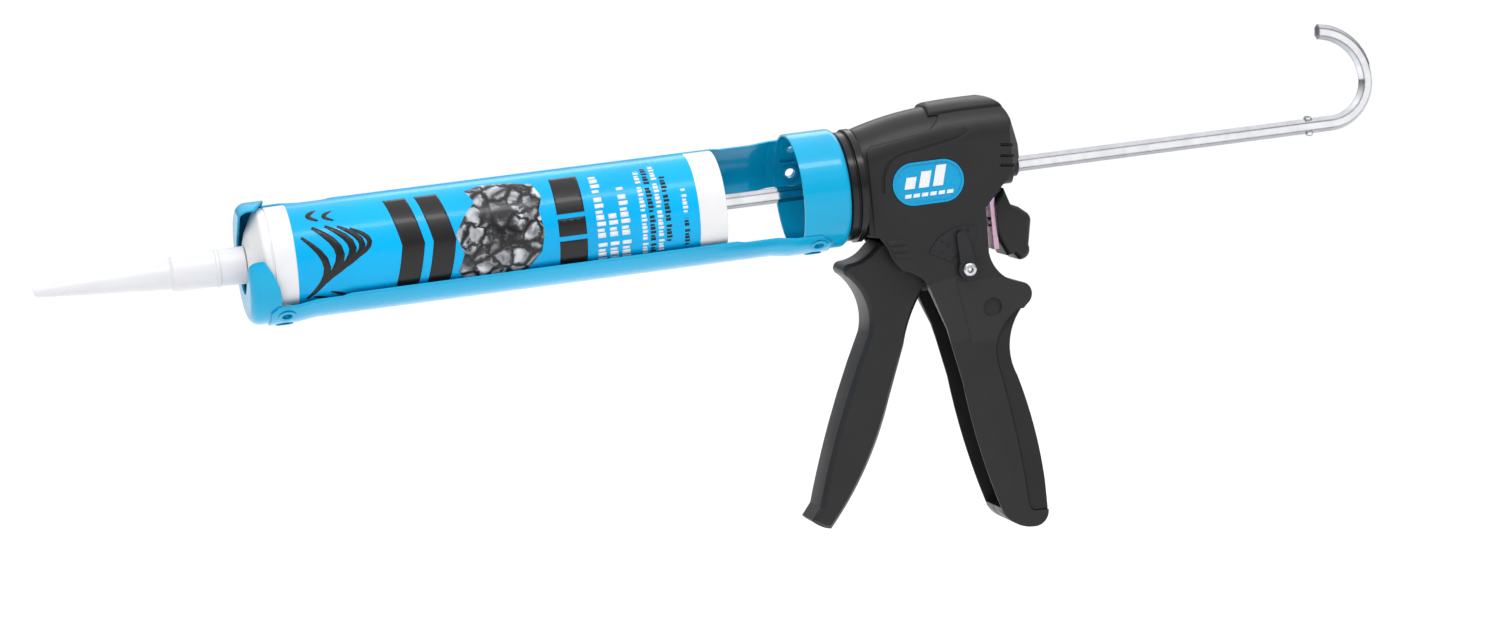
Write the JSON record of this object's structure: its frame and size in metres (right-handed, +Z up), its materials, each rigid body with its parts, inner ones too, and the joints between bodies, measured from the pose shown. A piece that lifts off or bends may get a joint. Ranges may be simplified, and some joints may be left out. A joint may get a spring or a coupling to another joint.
{
  "type": "caulking gun",
  "caption": "Skeleton-cradle caulking gun with a loaded cartridge, hex push rod with a hook, pivoting trigger, thumb release and ratio lever.",
  "frame": {"origin": "centre of the nozzle's outlet", "axes": "+X along the barrel from the nozzle to the hook, +Z up with the handle hanging toward -Z, -Y the gun's left side, which carries the selector lever"},
  "size_m": [0.649, 0.0574, 0.2195],
  "materials": {
    "sky_paint": "gloss powder coat",
    "white_tube": "smooth extruded tube",
    "label_print": "printed film",
    "natural_nozzle": "translucent moulding",
    "black_nylon": "fine moulded grain",
    "black_gloss": "polished moulding",
    "black_rubber": "soft overmould",
    "zinc_rod": "bright plated",
    "zinc_yellow": "iridescent passivate",
    "spring_steel": "oiled wire",
    "badge_blue": "domed badge",
    "dark_steel": "hardened plate"
  },
  "bodies": {
    "grip": {"body_left": "black_nylon", "body_right": "black_nylon", "body_screws": "dark_steel", "badge_left": "badge_blue", "badge_right": "badge_blue", "top_cap": "black_nylon", "rear_grip": "black_rubber", "dial_plate": "black_nylon", "trigger_pin": "dark_steel", "selector_screw": "zinc_rod", "swivel_bush": "black_gloss", "swivel_washer": "zinc_rod", "swivel_nut": "zinc_rod", "rear_bushing": "black_gloss", "drive_spring": "spring_steel", "brake_spring": "spring_steel"},
    "cradle": {"front_cap": "sky_paint", "upper_rail": "sky_paint", "lower_rail": "sky_paint", "rear_collar": "sky_paint", "rail_eyelets": "sky_paint"},
    "tube": {"cartridge": "white_tube", "cartridge_label": "label_print", "cartridge_piston": "natural_nozzle", "nozzle": "natural_nozzle"},
    "rod": {"rod": "zinc_rod", "plunger_disc": "zinc_rod", "plunger_washer": "zinc_rod", "plunger_nuts": "zinc_rod"},
    "trigger": {"trigger": "black_nylon", "trigger_roller": "dark_steel"},
    "drive": {"drive_plates": "dark_steel"},
    "release": {"release_plate": "zinc_yellow", "release_pad": "black_nylon", "release_rivets": "dark_steel"},
    "selector": {"selector_lever": "black_nylon"}
  },
  "joints": [
    {"name": "cradle_swivel", "type": "hinge", "parent": "grip", "child": "cradle", "pos_m": [0.3745, 0, 0], "axis": [1, 0, 0], "continuous": true},
    {"name": "cartridge_turn", "type": "hinge", "parent": "cradle", "child": "tube", "pos_m": [0.2, 0, 0], "axis": [1, 0, 0], "continuous": true},
    {"name": "rod_slide", "type": "slide", "parent": "grip", "child": "rod", "axis": [-1, 0, 0], "range_m": [-0.066, 0.144]},
    {"name": "trigger_squeeze", "type": "hinge", "parent": "grip", "child": "trigger", "pos_m": [0.4304, 0, -0.0442], "axis": [0, -1, 0], "range_deg": [0, 25], "stiffness_Nm_per_rad": 1.2, "springref_deg": -20.05},
    {"name": "drive_stroke", "type": "slide", "parent": "grip", "child": "drive", "axis": [-1, 0, 0], "range_m": [0, 0.0064], "stiffness_N_per_m": 300, "springref_m": -0.004, "deforming": ["drive_spring"]},
    {"name": "release_press", "type": "hinge", "parent": "grip", "child": "release", "pos_m": [0.4487, 0, 0.0115], "axis": [0, 1, 0], "range_deg": [0, 6], "stiffness_Nm_per_rad": 3, "springref_deg": -4.58, "deforming": ["brake_spring"]},
    {"name": "selector_turn", "type": "hinge", "parent": "grip", "child": "selector", "pos_m": [0.4304, -0.0205, -0.0442], "axis": [0, -1, 0], "range_deg": [-15, 45]}
  ],
  "couplings": [
    {"joint": "drive_stroke", "follows": "trigger_squeeze", "m_per_rad": 0.01414}
  ]
}
